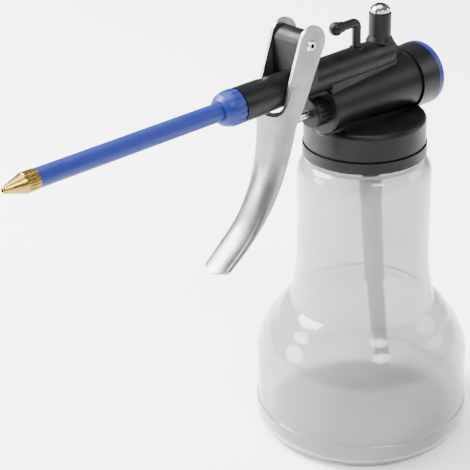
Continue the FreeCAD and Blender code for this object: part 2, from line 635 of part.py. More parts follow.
def make_suction_valve_body():
    """Valve cage screwed up into the cap, with the spigot that the suction sleeve is pushed on."""
    boss_end = CAP_INSIDE_TOP - BOSS_HEIGHT
    cage = rod_z(boss_end, CAP_INSIDE_TOP + SOCKET_SINK, SUCTION_SOCKET_R, SUCTION_X)
    flange = rod_z(boss_end - FLANGE_T, boss_end, SUCTION_SOCKET_R + CAGE_FLANGE_OUT, SUCTION_X)
    lower = rod_z(KNEE[1], boss_end - FLANGE_T, SUCTION_SOCKET_R - CAGE_NARROW, SUCTION_X)
    knuckle = Part.makeSphere(SUCTION_SOCKET_R - CAGE_NARROW, V(KNEE[0], 0, KNEE[1]))
    spigot = straight_tube(KNEE, SPIGOT_END, SPIGOT_OUT_R, 0)
    bore = rod_z(SUCTION_SEAT_Z, CAP_INSIDE_TOP + 1, SUCTION_BORE_R, SUCTION_X)
    inlet = rod_z(KNEE[1], SUCTION_SEAT_Z + 1, PORT_R, SUCTION_X)
    past_end = (2 * SPIGOT_END[0] - KNEE[0], 2 * SPIGOT_END[1] - KNEE[1])
    spigot_bore = straight_tube(KNEE, past_end, PORT_R, 0)
    turn = Part.makeSphere(PORT_R, V(KNEE[0], 0, KNEE[1]))
    return cage.fuse([flange, lower, knuckle, spigot]).cut([bore, inlet, spigot_bore, turn])


def make_suction_ball():
    """Ball on the edge of the suction inlet."""
    sit = math.sqrt(BALL_R ** 2 - PORT_R ** 2)
    return Part.makeSphere(BALL_R, V(SUCTION_X, 0, SUCTION_SEAT_Z + sit + SEAT_GAP))


def make_dip_sleeve():
    """Thick upper tube that joins the valve's spigot to the dip tube."""
    outer = straight_tube(SLEEVE_TOP, SLEEVE_BOTTOM, SLEEVE_R, 0)
    way = straight_tube(SLEEVE_TOP, SLEEVE_BOTTOM, SLEEVE_BORE_R, 0)
    return outer.cut([straight_tube(KNEE, SPIGOT_END, SPIGOT_OUT_R, 0), way, tube_along(TUBE_ROUTE, TUBE_R)])


def make_dip_tube():
    """Dip tube that bends gently down to the rear of the bottle's floor."""
    first, last = TUBE_ROUTE[0], TUBE_ROUTE[-1]
    bore_route = [(first[0] - 0.1, first[1] + 1.5)] + TUBE_ROUTE[1:-1] + [(last[0] + 0.2, last[1] - 1.1)]
    return tube_along(TUBE_ROUTE, TUBE_R).cut(tube_along(bore_route, TUBE_BORE_R))


# ---- trigger lever ----------------------------------------------------------------------------------
# Stations down the crown: x and z of its outer face, width, depth of the side walls, depth of the rounding.
CROWN = [
    (-48.9, 150.0, 14.4, 8.2, 3.6),
    (-48.8, 142.0, 14.4, 7.6, 3.6),
    (-48.8, 136.5, 14.4, 7.1, 3.6),
    (-48.9, 133.0, 14.4, 6.4, 3.6),
    (-49.3, 129.0, 14.2, 5.5, 3.6),
    (-50.5, 122.6, 13.5, 4.6, 3.4),
    (-53.2, 115.6, 12.5, 4.4, 3.4),
    (-57.3, 108.4, 11.7, 3.9, 3.2),
    (-62.7, 101.8, 11.6, 3.0, 2.6),
    (-69.0, 96.5, 11.6, 2.7, 2.4),
    (-75.9, 91.4, 11.6, 2.4, 2.1),
]
TRIM = [(-44.3, 149.0), (-45.6, 144.9), (-46.9, 142.0), (-48.2, 140.2), (-49.6, 139.2)]   # crown's top edge
EAR_INSET = 0.03         # the ears lie this much inside the channel's walls
TIP_R = 6.4
EAR_FRONT = [(-39.6, 164.0), (-40.3, 162.0), (-42.3, 156.8), (-44.3, 151.0), (-45.6, 146.6), (-45.6, 141.0),
             (-45.0, 136.5)]
EAR_TOP = (-33.8, 168.7)
EAR_REAR = [(-28.4, 160.6), (-30.0, 157.6), (-32.4, 153.0), (-35.4, 146.6), (-38.0, 141.6), (-41.9, 135.2)]


def spline_edge(points, y):
    """A smooth edge through (x, z) points in a plane of constant y."""
    curve = Part.BSplineCurve()
    curve.interpolate([V(x, y, z) for x, z in points])
    return curve.toShape()


def crown_section(station, run):
    """One U-shaped section of the sheet, square to the crown's run at that station."""
    x, z, width, depth, corner = station
    inward = V(-run.z, 0, run.x)
    origin = V(x, 0, z)

    def at(y, deep):
        return origin + V(0, y, 0) + inward * deep

    def bow(half, front, back):
        """Half-round front of the section between its two side walls."""
        steps = 12
        curve = Part.BSplineCurve()
        points = []
        for k in range(steps + 1):
            angle = math.pi * k / steps
            points.append(at(-half * math.cos(angle), back - (back - front) * math.sin(angle) ** 0.8))
        curve.interpolate(points)
        return curve.toShape()

    half, inside = width / 2, width / 2 - SHEET
    outer, inner = bow(half, 0, corner), bow(inside, SHEET, corner)
    edges = [Part.LineSegment(at(-half, depth), at(-half, corner)).toShape(), outer,
             Part.LineSegment(at(half, corner), at(half, depth)).toShape(),
             Part.LineSegment(at(half, depth), at(inside, depth)).toShape(),
             Part.LineSegment(at(inside, depth), at(inside, corner)).toShape(), inner,
             Part.LineSegment(at(-inside, corner), at(-inside, depth)).toShape(),
             Part.LineSegment(at(-inside, depth), at(-half, depth)).toShape()]
    return Part.Wire(Part.__sortEdges__(edges))


def crown_runs():
    """Unit direction of the crown's outer face at each station, pointing down the lever."""
    last = len(CROWN) - 1
    runs = []
    for i in range(last + 1):
        before, after = CROWN[max(i - 1, 0)], CROWN[min(i + 1, last)]
        runs.append(V(after[0] - before[0], 0, after[1] - before[1]).normalize())
    return runs


def ear_plate(side):
    """One side wall from the crown's top up round the pivot."""
    y = EAR_INSET + (-LEVER_HALF if side < 0 else LEVER_HALF - SHEET)
    top = Part.Arc(V(EAR_REAR[0][0], y, EAR_REAR[0][1]), V(EAR_TOP[0], y, EAR_TOP[1]),
                   V(EAR_FRONT[0][0], y, EAR_FRONT[0][1])).toShape()
    foot = Part.LineSegment(V(EAR_FRONT[-1][0], y, EAR_FRONT[-1][1]), V(EAR_REAR[-1][0], y, EAR_REAR[-1][1]))
    outline = Part.Wire([spline_edge(EAR_FRONT, y), foot.toShape(), spline_edge(EAR_REAR[::-1], y), top])
    return Part.Face(outline).extrude(V(0, SHEET - 2 * EAR_INSET, 0))


def tip_cutter(run):
    """Everything outside the half-round end of the lever."""
    end = CROWN[-1]
    inward = V(-run.z, 0, run.x)
    centre = V(end[0], 0, end[1]) - run * TIP_R
    across = V(0, 12, 0)
    low = centre - inward * 12
    corners = [low - across, low + across, low + across + run * 20, low - across + run * 20]
    block = Part.Face(Part.makePolygon(corners + [corners[0]])).extrude(inward * 24)
    return block.cut(Part.makeCylinder(TIP_R, 30, centre - inward * 15, inward))


def make_trigger_lever():
    """Pressed channel lever: two ears at the pivot, a rounded crown in front, open towards the bottle."""
    runs = crown_runs()
    sections = [crown_section(station, run) for station, run in zip(CROWN, runs)]
    channel = Part.makeLoft(sections, True, False)
    far = CROWN[0][0] - 12
    corners = [V(x, -20, z) for x, z in TRIM + [(far, TRIM[-1][1]), (far, 160.0), (TRIM[0][0], 160.0)]]
    channel = channel.cut(Part.Face(Part.makePolygon(corners + [corners[0]])).extrude(V(0, 40, 0)))
    lever = channel.fuse([ear_plate(-1), ear_plate(1)]).cut(tip_cutter(runs[-1]))
    eyes = Part.makeCylinder(PIN_R, 40, V(PIVOT_X, -20, PIVOT_Z), V(0, 1, 0))
    return lever.cut(eyes)


def make_pivot_pin():
    """Hollow rivet through the ears and the lug."""
    shank = Part.makeCylinder(PIN_R, 2 * LEVER_HALF, V(PIVOT_X, -LEVER_HALF, PIVOT_Z), V(0, 1, 0))
    heads = []
    for side in (-1, 1):
        seat = V(PIVOT_X, side * LEVER_HALF, PIVOT_Z)
        heads.append(Part.makeCone(PIN_HEAD_R, PIN_HEAD_R - 0.5, 0.6, seat, V(0, side, 0)))
    bore = Part.makeCylinder(0.8, 2 * LEVER_HALF + 4, V(PIVOT_X, -LEVER_HALF - 2, PIVOT_Z), V(0, 1, 0))
    return shank.fuse(heads).cut(bore)


# ---- spout --------------------------------------------------------------------------------------------
def make_spout_nut():
    """Blue union nut: ribbed ring behind, rounded shoulder in front."""
    hole, seat = SPOUT_R + RUN, SPIGOT_R + RUN
    outline = [(NUT_REAR, seat), (NUT_REAR, NUT_R), (NUT_FRONT + 4.4, NUT_R), (NUT_FRONT + 3.2, NUT_R - 0.3),
               (FLANGE_FRONT, NUT_R - 0.9), (NUT_FRONT, 3.9), (NUT_FRONT, hole), (FLANGE_FRONT, hole),
               (FLANGE_FRONT, seat)]
    nut = lathe_x(outline, BARREL_Z)
    flutes = []
    for i in range(NUT_FLUTES):
        angle = 2 * math.pi * i / NUT_FLUTES
        reach = NUT_R + 0.35
        centre = V(NUT_REAR - 3.6, reach * math.cos(angle), BARREL_Z + reach * math.sin(angle))
        flutes.append(Part.makeCylinder(0.6, 5.0, centre, V(1, 0, 0)))
    return nut.cut(flutes)


def make_spout_washer():
    """Sealing washer between the barrel's spigot and the spout's flange."""
    return ring_x(SPIGOT_FRONT - WASHER_T, SPIGOT_FRONT, SPIGOT_R, GALLERY_R, BARREL_Z)


def make_spout_tube():
    """Rigid blue spout with a flange inside the nut and a socket for the nozzle."""
    rear = SPIGOT_FRONT - WASHER_T
    tube = rod_x(SPOUT_FRONT, rear, SPOUT_R, BARREL_Z)
    flange = rod_x(FLANGE_FRONT, rear, SPIGOT_R, BARREL_Z)
    way = rod_x(SPOUT_FRONT - 1, SPIGOT_FRONT, SPOUT_BORE_R, BARREL_Z)
    socket = rod_x(SPOUT_FRONT - 1, SPOUT_FRONT + SOCKET_DEPTH + 0.5, NOZZLE_SOCKET_R, BARREL_Z)
    return tube.fuse(flange).cut([way, socket])


def make_nozzle():
    """Turned brass nozzle: fluted collar, cone and rounded tip with its orifice."""
    outline = [(NOZZLE_TIP, 0), (NOZZLE_TIP, 0.85), (NOZZLE_TIP + 0.35, 1.15),
               (NOZZLE_CONE - 0.3, NOZZLE_R - 0.15), (NOZZLE_CONE, NOZZLE_R), (SPOUT_FRONT, NOZZLE_R),
               (SPOUT_FRONT, NOZZLE_SOCKET_R),
               (SPOUT_FRONT + SOCKET_DEPTH, NOZZLE_SOCKET_R), (SPOUT_FRONT + SOCKET_DEPTH, 0)]
    body = lathe_x(outline, BARREL_Z)
    orifice = rod_x(NOZZLE_TIP - 1, NOZZLE_TIP + ORIFICE_LENGTH + 0.5, ORIFICE_R, BARREL_Z)
    supply = rod_x(NOZZLE_TIP + ORIFICE_LENGTH, SPOUT_FRONT + 8, 1.3, BARREL_Z)
    flutes = []
    reach = NOZZLE_R + 0.12
    for i in range(NOZZLE_FLUTES):
        angle = 2 * math.pi * i / NOZZLE_FLUTES
        centre = V(NOZZLE_CONE + 0.3, reach * math.cos(angle), BARREL_Z + reach * math.sin(angle))
        flutes.append(Part.makeCylinder(0.34, SPOUT_FRONT - NOZZLE_CONE - 0.6, centre, V(1, 0, 0)))
    return body.cut([orifice, supply]).cut(flutes)


# ---- write every node ---------------------------------------------------------------------------------
NODES = {
    "bottle": make_bottle,
    "neck_gasket": make_neck_gasket,
    "pump_head": make_pump_head,
    "gland_nut": make_gland_nut,
    "gland_seal": make_gland_seal,
    "piston_rod": make_piston_rod,
    "piston": make_piston,
    "piston_seal": make_piston_seal,
    "return_spring": make_return_spring,
    "rear_cap": make_rear_cap,
    "rear_disc": make_rear_disc,
    "rear_cap_seal": make_rear_cap_seal,
    "discharge_ball": make_discharge_ball,
    "discharge_spring": make_discharge_spring,
    "valve_plug_screw": make_valve_plug_screw,
    "valve_plug_seal": make_valve_plug_seal,
    "cock_lever": make_cock_lever,
    "cock_bush": make_cock_bush,
    "cock_seal": make_cock_seal,
    "suction_valve_body": make_suction_valve_body,
    "suction_ball": make_suction_ball,
    "dip_sleeve": make_dip_sleeve,
    "dip_tube": make_dip_tube,
    "trigger_lever": make_trigger_lever,
    "pivot_pin": make_pivot_pin,
    "spout_nut": make_spout_nut,
    "spout_washer": make_spout_washer,
    "spout_tube": make_spout_tube,
    "nozzle": make_nozzle,
}


def main():
    """Build each node and write it to parts/."""
    os.makedirs("parts", exist_ok=True)
    for name, make in NODES.items():
        shape = make()
        solids = shape.Solids
        print(name, "valid" if shape.isValid() else "INVALID", len(solids), round(shape.Volume, 1))
        shape = solids[0] if len(solids) == 1 else shape
        shape.exportStep(os.path.join("parts", name + ".step"))


main()
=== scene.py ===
"""Looks of a hand-lever pump oiler: clear bottle, black head, plated lever, blue spout, brass nozzle."""
import json
import logging
import math
from dataclasses import dataclass
from enum import Enum

import bmesh
import bpy
from mathutils import Matrix, Vector, noise


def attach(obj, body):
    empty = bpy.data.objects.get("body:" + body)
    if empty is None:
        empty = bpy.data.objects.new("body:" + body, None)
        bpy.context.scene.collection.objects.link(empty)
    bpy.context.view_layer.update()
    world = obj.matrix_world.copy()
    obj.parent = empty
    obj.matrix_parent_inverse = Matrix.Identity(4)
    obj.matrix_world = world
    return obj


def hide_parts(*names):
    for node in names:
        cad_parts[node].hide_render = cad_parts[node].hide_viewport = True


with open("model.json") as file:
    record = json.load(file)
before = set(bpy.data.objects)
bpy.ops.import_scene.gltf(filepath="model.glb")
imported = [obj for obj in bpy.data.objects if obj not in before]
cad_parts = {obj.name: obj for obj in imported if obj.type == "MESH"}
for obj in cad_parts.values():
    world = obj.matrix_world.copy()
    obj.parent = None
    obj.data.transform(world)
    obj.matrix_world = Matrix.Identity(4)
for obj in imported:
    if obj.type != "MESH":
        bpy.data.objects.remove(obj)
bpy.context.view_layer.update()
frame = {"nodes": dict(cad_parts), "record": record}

log = logging.getLogger("oiler")
MM = 0.001
MERGE = 1e-7
FULL_TURN = math.tau
WIDE_WAVE = 48.0
TIGHT_WAVE = 110.0

Colour = tuple[float, float, float, float]
Point = tuple[float, float]
Outline = list[Point]


class Grain(Enum):
    """Direction that the fine lines of a finish run in, as a stretch of its pattern."""

    EVEN = (1.0, 1.0, 1.0)
    ALONG_X = (0.04, 1.0, 1.0)
    ALONG_Z = (1.0, 1.0, 0.05)
    ROUND_X = (1.0, 0.05, 0.05)


# ---- finishes -----------------------------------------------------------------------------------
class NodeBench:
    """Small helper that lays out one material's nodes round its main shader."""

    def __init__(self, name: str) -> None:
        """Start an empty node material.

        Args:
            name: the material's name.
        """
        self.material = bpy.data.materials.new(name)
        self.material.use_nodes = True
        self.tree = self.material.node_tree
        self.tree.nodes.clear()
        self.output = self.tree.nodes.new("ShaderNodeOutputMaterial")
        self.shader = self.tree.nodes.new("ShaderNodeBsdfPrincipled")
        self.link(self.shader.outputs["BSDF"], self.output.inputs["Surface"])
        self.place = self.tree.nodes.new("ShaderNodeTexCoord").outputs["Object"]

    def link(self, source: bpy.types.NodeSocket, target: bpy.types.NodeSocket) -> None:
        """Join an output socket to an input socket.

        Args:
            source: the output.
            target: the input.
        """
        self.tree.links.new(source, target)

    def stretched(self, grain: Grain, turn: float = 0.0) -> bpy.types.NodeSocket:
        """Object coordinates stretched along a grain.

        Args:
            grain: which way the pattern is drawn out.
            turn: angle about Y, in radians, before the stretch.

        Returns:
            The socket that carries the stretched coordinates.
        """
        mapping = self.tree.nodes.new("ShaderNodeMapping")
        mapping.vector_type = "POINT"
        mapping.inputs["Rotation"].default_value = (0.0, turn, 0.0)
        mapping.inputs["Scale"].default_value = grain.value
        self.link(self.place, mapping.inputs["Vector"])
        return mapping.outputs["Vector"]

    def noise(self, scale: float, detail: float = 3.0, rough: float = 0.5,
              at: bpy.types.NodeSocket | None = None) -> bpy.types.NodeSocket:
        """Noise pattern in the object's own space.

        Args:
            scale: lumps per metre.
            detail: octaves.
            rough: strength of the finer octaves.
            at: coordinates; the plain object coordinates if left out.

        Returns:
            The socket of the noise's value.
        """
        node = self.tree.nodes.new("ShaderNodeTexNoise")
        node.inputs["Scale"].default_value = scale
        node.inputs["Detail"].default_value = detail
        node.inputs["Roughness"].default_value = rough
        self.link(at or self.place, node.inputs["Vector"])
        return node.outputs["Fac"]

    def ramp(self, value: bpy.types.NodeSocket, stops: list[tuple[float, Colour]]) -> bpy.types.NodeSocket:
        """Colour ramp.

        Args:
            value: what is looked up.
            stops: place and colour of each stop, in order.

        Returns:
            The socket of the ramp's colour.
        """
        node = self.tree.nodes.new("ShaderNodeValToRGB")
        elements = node.color_ramp.elements
        elements[0].position, elements[0].color = stops[0]
        elements[1].position, elements[1].color = stops[-1]
        for position, colour in stops[1:-1]:
            elements.new(position).color = colour
        self.link(value, node.inputs["Fac"])
        return node.outputs["Color"]

    def spread(self, value: bpy.types.NodeSocket, low: float, high: float,
               start: float = 0.3, end: float = 0.7) -> bpy.types.NodeSocket:
        """Map a pattern's value to a range of numbers.

        Args:
            value: the pattern.
            low: result at start.
            high: result at end.
            start: pattern value that gives low.
            end: pattern value that gives high.

        Returns:
            The socket of the mapped value.
        """
        node = self.tree.nodes.new("ShaderNodeMapRange")
        node.inputs["From Min"].default_value = start
        node.inputs["From Max"].default_value = end
        node.inputs["To Min"].default_value = low
        node.inputs["To Max"].default_value = high
        self.link(value, node.inputs["Value"])
        return node.outputs["Result"]

    def blend(self, factor: bpy.types.NodeSocket, one: bpy.types.NodeSocket,
              two: Colour) -> bpy.types.NodeSocket:
        """Mix a second colour in over the first.

        Args:
            factor: share of the second colour.
            one: first colour.
            two: second colour.

        Returns:
            The socket of the mixed colour.
        """
        node = self.tree.nodes.new("ShaderNodeMix")
        node.data_type = "RGBA"
        node.inputs["B"].default_value = two
        self.link(factor, node.inputs["Factor"])
        self.link(one, node.inputs["A"])
        return node.outputs["Result"]

    def relief(self, height: bpy.types.NodeSocket, depth: float, strength: float,
               under: bpy.types.NodeSocket | None = None) -> bpy.types.NodeSocket:
        """Bump on top of any earlier bump.

        Args:
            height: the pattern.
            depth: its depth in metres.
            strength: share of the full effect.
            under: the normal of an earlier bump.

        Returns:
            The socket of the bent normal.
        """
        node = self.tree.nodes.new("ShaderNodeBump")
        node.inputs["Distance"].default_value = depth
        node.inputs["Strength"].default_value = strength
        self.link(height, node.inputs["Height"])
        if under is not None:
            self.link(under, node.inputs["Normal"])
        return node.outputs["Normal"]

    def constant(self, name: str, value: float) -> None:
        """Set a socket of the shader that is the same all over.

        Args:
            name: the socket's name.
            value: its value.
        """
        self.shader.inputs[name].default_value = value

    def drive(self, name: str, source: bpy.types.NodeSocket) -> None:
        """Let a pattern set a socket of the shader.

        Args:
            name: the socket's name.
            source: the pattern's socket.
        """
        self.link(source, self.shader.inputs[name])


def grey(value: float, tint: float = 0.0) -> Colour:
    """A nearly neutral colour.

    Args:
        value: its brightness.
        tint: above 0 it leans to blue, below 0 to yellow.

    Returns:
        The colour, opaque.
    """
    return (value * (1 - tint), value, value * (1 + tint), 1.0)


@dataclass(frozen=True)
class MouldedPlastic:
    """Injection-moulded plastic with flow mottling, fine texture, scuffs and handling dust."""

    name: str
    deep: Colour
    light: Colour
    scuff: Colour
    gloss: tuple[float, float] = (0.3, 0.5)
    grain: Grain = Grain.EVEN
    texture_depth: float = 0.00005
    shine: float = 0.22
    flow_scale: float = 55.0
    texture_scale: float = 2600.0
    scuff_scale: float = 240.0
    scuff_share: float = 0.5
    gloss_scale: float = 130.0
    wave_depth: float = 0.00022
    ior: float = 1.48

    def make(self) -> bpy.types.Material:
        """Build the material.

        Returns:
            The finished material.
        """
        bench = NodeBench(self.name)
        along = bench.stretched(self.grain)
        flow = bench.noise(self.flow_scale, 4.0, 0.6, along)
        fine = bench.noise(self.texture_scale, 2.0)
        colour = bench.ramp(flow, [(0.3, self.deep), (0.72, self.light)])
        marks = bench.noise(self.scuff_scale, 6.0, 0.75, along)
        worn = bench.spread(marks, 0.0, self.scuff_share, 0.63, 0.78)
        bench.drive("Base Color", bench.blend(worn, colour, self.scuff))
        bench.drive("Roughness", bench.spread(bench.noise(self.gloss_scale, 5.0, 0.65), *self.gloss))
        waves = bench.relief(flow, self.wave_depth, 0.35)
        bench.drive("Normal", bench.relief(fine, self.texture_depth, 0.4, waves))
        bench.constant("IOR", self.ior)
        bench.constant("Specular IOR Level", self.shine)
        return bench.material


@dataclass(frozen=True)
class ClearPlastic:
    """Blow-moulded clear plastic, a little milky, with wavy walls, flow streaks and fine scratches."""

    name: str
    body: Colour
    cloud: Colour
    clearness: float
    haze: tuple[float, float] = (0.04, 0.16)
    ripple: float = 0.0004
    ior: float = 1.38
    cloud_scale: float = 38.0
    streak_scale: float = 90.0
    ripple_scale: float = 60.0
    scratch_scale: float = 1500.0
    scratch_depth: float = 0.00003
    milkiness: float = 0.1
    shine: float = 0.6

    def make(self) -> bpy.types.Material:
        """Build the material.

        Returns:
            The finished material.
        """
        bench = NodeBench(self.name)
        upright = bench.stretched(Grain.ALONG_Z)
        cloud = bench.noise(self.cloud_scale, 4.0, 0.6)
        bench.drive("Base Color", bench.ramp(cloud, [(0.3, self.body), (0.75, self.cloud)]))
        streak = bench.noise(self.streak_scale, 3.0, 0.5, upright)
        bench.drive("Roughness", bench.spread(streak, *self.haze))
        least_clear = self.clearness - self.milkiness
        bench.drive("Transmission Weight", bench.spread(cloud, self.clearness, least_clear))
        waves = bench.relief(bench.noise(self.ripple_scale, 2.0, 0.4), self.ripple, 0.5)
        scratches = bench.noise(self.scratch_scale, 3.0)
        bench.drive("Normal", bench.relief(scratches, self.scratch_depth, 0.35, waves))
        bench.constant("IOR", self.ior)
        bench.constant("Specular IOR Level", self.shine)
        return bench.material


@dataclass(frozen=True)
class PlatedSheet:
    """Zinc-plated pressed sheet: soft drawn streaks, cloudy patches, small stains and handling marks."""

    name: str
    bright: Colour
    dull: Colour
    stain: Colour
    gloss: tuple[float, float] = (0.24, 0.46)
    streak_scale: float = 900.0
    streak_depth: float = 0.00004
    cloud_scale: float = 85.0
    cloud_depth: float = 0.00025
    spot_scale: float = 190.0
    gloss_scale: float = 150.0
    lean: float = 0.35
    metallic: float = 0.94
    brushed: float = 0.35

    def make(self) -> bpy.types.Material:
        """Build the material.

        Returns:
            The finished material.
        """
        bench = NodeBench(self.name)
        drawn = bench.stretched(Grain.ALONG_Z, self.lean)
        streak = bench.noise(self.streak_scale, 4.0, 0.65, drawn)
        cloud = bench.noise(self.cloud_scale, 5.0, 0.6)
        colour = bench.ramp(cloud, [(0.28, self.dull), (0.7, self.bright)])
        spots = bench.spread(bench.noise(self.spot_scale, 4.0, 0.55), 0.0, 0.7, 0.68, 0.8)
        bench.drive("Base Color", bench.blend(spots, colour, self.stain))
        sheen = bench.noise(self.gloss_scale, 6.0, 0.7, drawn)
        bench.drive("Roughness", bench.spread(sheen, *self.gloss))
        lines = bench.relief(streak, self.streak_depth, 0.45)
        bench.drive("Normal", bench.relief(cloud, self.cloud_depth, 0.25, lines))
        bench.constant("Metallic", self.metallic)
        bench.constant("Anisotropic", self.brushed)
        return bench.material


@dataclass(frozen=True)
class TurnedMetal:
    """Metal turned on a lathe: fine tool rings round its axis, tarnish and small nicks."""

    name: str
    bright: Colour
    tarnish: Colour
    gloss: tuple[float, float] = (0.16, 0.34)
    rings: float = 4200.0
    grain: Grain = Grain.ROUND_X
    ring_depth: float = 0.00003
    tarnish_scale: float = 260.0
    nick_depth: float = 0.0001
    gloss_scale: float = 600.0

    def make(self) -> bpy.types.Material:
        """Build the material.

        Returns:
            The finished material.
        """
        bench = NodeBench(self.name)
        tone = bench.noise(self.tarnish_scale, 5.0, 0.65)
        bench.drive("Base Color", bench.ramp(tone, [(0.3, self.tarnish), (0.62, self.bright)]))
        bench.drive("Roughness", bench.spread(bench.noise(self.gloss_scale, 4.0, 0.6), *self.gloss))
        turning = bench.noise(self.rings, 2.0, 0.5, bench.stretched(self.grain))
        tool = bench.relief(turning, self.ring_depth, 0.5)
        bench.drive("Normal", bench.relief(tone, self.nick_depth, 0.2, tool))
        bench.constant("Metallic", 1.0)
        return bench.material


@dataclass(frozen=True)
class SealRubber:
    """Matt oil-proof rubber with bloom and fine grain."""

    name: str
    deep: Colour
    bloom: Colour
    bloom_scale: float = 300.0
    grain_scale: float = 3000.0
    grain_depth: float = 0.00005
    gloss: tuple[float, float] = (0.55, 0.8)

    def make(self) -> bpy.types.Material:
        """Build the material.

        Returns:
            The finished material.
        """
        bench = NodeBench(self.name)
        tone = bench.noise(self.bloom_scale, 5.0, 0.7)
        bench.drive("Base Color", bench.ramp(tone, [(0.35, self.deep), (0.75, self.bloom)]))
        bench.drive("Roughness", bench.spread(tone, *self.gloss))
        bench.drive("Normal", bench.relief(bench.noise(self.grain_scale, 2.0), self.grain_depth, 0.5))
        return bench.material


@dataclass(frozen=True)
class StudioPaper:
    """Matt, nearly white paper for the floor."""

    name: str
    tone: float
    fibre_scale: float = 30.0
    roughness: float = 0.9

    def make(self) -> bpy.types.Material:
        """Build the material.

        Returns:
            The finished material.
        """
        bench = NodeBench(self.name)
        fibre = bench.noise(self.fibre_scale, 3.0)
        bench.drive("Base Color", bench.ramp(fibre, [(0.2, grey(self.tone - 0.01)), (0.8, grey(self.tone))]))
        bench.constant("Roughness", self.roughness)
        return bench.material


FINISHES = {
    "clear_plastic": ClearPlastic("clear_plastic", body=grey(0.60, -0.006), cloud=grey(0.51, -0.01),
                                  clearness=0.85),
    "hose_plastic": ClearPlastic("hose_plastic", body=grey(0.19, -0.05), cloud=grey(0.12, -0.07),
                                 clearness=0.25, haze=(0.3, 0.5), ripple=0.0001, ior=1.3),
    "black_plastic": MouldedPlastic("black_plastic", deep=grey(0.0015, 0.08), light=grey(0.0045, 0.1),
                                    scuff=grey(0.026), shine=0.15),
    "blue_plastic": MouldedPlastic("blue_plastic", deep=(0.0038, 0.0095, 0.100, 1),
                                   light=(0.0085, 0.018, 0.145, 1), scuff=(0.05, 0.08, 0.30, 1),
                                   gloss=(0.36, 0.55), grain=Grain.ALONG_X, texture_depth=0.00004,
                                   shine=0.25),
    "pressed_steel": PlatedSheet("pressed_steel", bright=grey(0.21, 0.02), dull=grey(0.125, 0.04),
                                 stain=grey(0.07, -0.1)),
    "steel": TurnedMetal("steel", bright=grey(0.60), tarnish=grey(0.34, -0.03), gloss=(0.18, 0.36)),
    "bright_screw": TurnedMetal("bright_screw", bright=grey(0.36), tarnish=grey(0.12), gloss=(0.12, 0.3),
                                rings=3000.0, grain=Grain.EVEN),
    "brass": TurnedMetal("brass", bright=(0.35, 0.235, 0.055, 1), tarnish=(0.15, 0.092, 0.02, 1)),
    "seal_rubber": SealRubber("seal_rubber", deep=grey(0.006), bloom=grey(0.03)),
    "white_plastic": MouldedPlastic("white_plastic", deep=grey(0.66), light=grey(0.76), scuff=grey(0.5)),
}


# ---- shaping ------------------------------------------------------------------------------------
def metres(values: Outline) -> Outline:
    """Turn an outline in millimetres into one in metres.

    Args:
        values: the outline.

    Returns:
        The same outline in metres.
    """
    return [(a * MM, b * MM) for a, b in values]


class Workshop:
    """Keeps the finishes, dresses CAD nodes and hands new meshes over to the frame."""

    def __init__(self) -> None:
        """Make every finish once, and look up each node's slot."""
        self.finish = {slot: finish.make() for slot, finish in FINISHES.items()}
        self.slots = {part["node"]: part["material_slot"] for part in frame["record"]["subparts"]}

    def hand_over(self, bm: bmesh.types.BMesh, name: str, body: str, slot: str,
                  replaces: tuple[str, ...] = (), sharp: float = 32.0) -> None:
        """Turn a finished bmesh into a piece that rides on its body.

        Args:
            bm: the mesh, in metres, in the frame's place.
            name: the piece's name.
            body: the CAD body that it rides on.
            slot: the record's material slot.
            replaces: CAD nodes that it stands for.
            sharp: angle in degrees above which an edge stays sharp.
        """
        bmesh.ops.recalc_face_normals(bm, faces=bm.faces)
        mesh = bpy.data.meshes.new(name)
        bm.to_mesh(mesh)
        bm.free()
        piece = bpy.data.objects.new(name, mesh)
        bpy.context.scene.collection.objects.link(piece)
        mesh.shade_smooth()
        mesh.set_sharp_from_angle(angle=math.radians(sharp))
        mesh.materials.append(self.finish[slot])
        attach(piece, body)
        if replaces:
            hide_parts(*replaces)
        log.info("%s: %d faces on %s, finish %s", name, len(mesh.polygons), body, slot)

    def dress(self, node: str) -> None:
        """Give a CAD node the finish of its material slot.

        Args:
            node: the node's name.
        """
        materials = frame["nodes"][node].data.materials
        materials.clear()
        materials.append(self.finish[self.slots[node]])
        log.info("CAD node %s: finish %s", node, self.slots[node])


def spun(outline: Outline, steps: int) -> bmesh.types.BMesh:
    """Spin an outline about the upright axis into a closed shell.

    Args:
        outline: (radius, z) points in metres, the first and the last on the axis.
        steps: segments round.

    Returns:
        The closed mesh.
    """
    bm = bmesh.new()
    verts = [bm.verts.new((r, 0.0, z)) for r, z in outline]
    edges = [bm.edges.new(pair) for pair in zip(verts, verts[1:])]
    bmesh.ops.spin(bm, geom=verts + edges, cent=(0, 0, 0), axis=(0, 0, 1), angle=FULL_TURN, steps=steps,
                   use_merge=True)
    bmesh.ops.remove_doubles(bm, verts=bm.verts, dist=MERGE)
    return bm


def curve(start: Point, bend: Point, end: Point, steps: int) -> Outline:
    """Points of a smooth bend, its end left out.

    Args:
        start: first point.
        bend: control point.
        end: last point.
        steps: pieces of the bend.

    Returns:
        The points from start up to, but without, the end.
    """
    points = []
    for k in range(steps):
        t = k / steps
        a, b, c = (1 - t) ** 2, 2 * t * (1 - t), t * t
        points.append((a * start[0] + b * bend[0] + c * end[0], a * start[1] + b * bend[1] + c * end[1]))
    return points


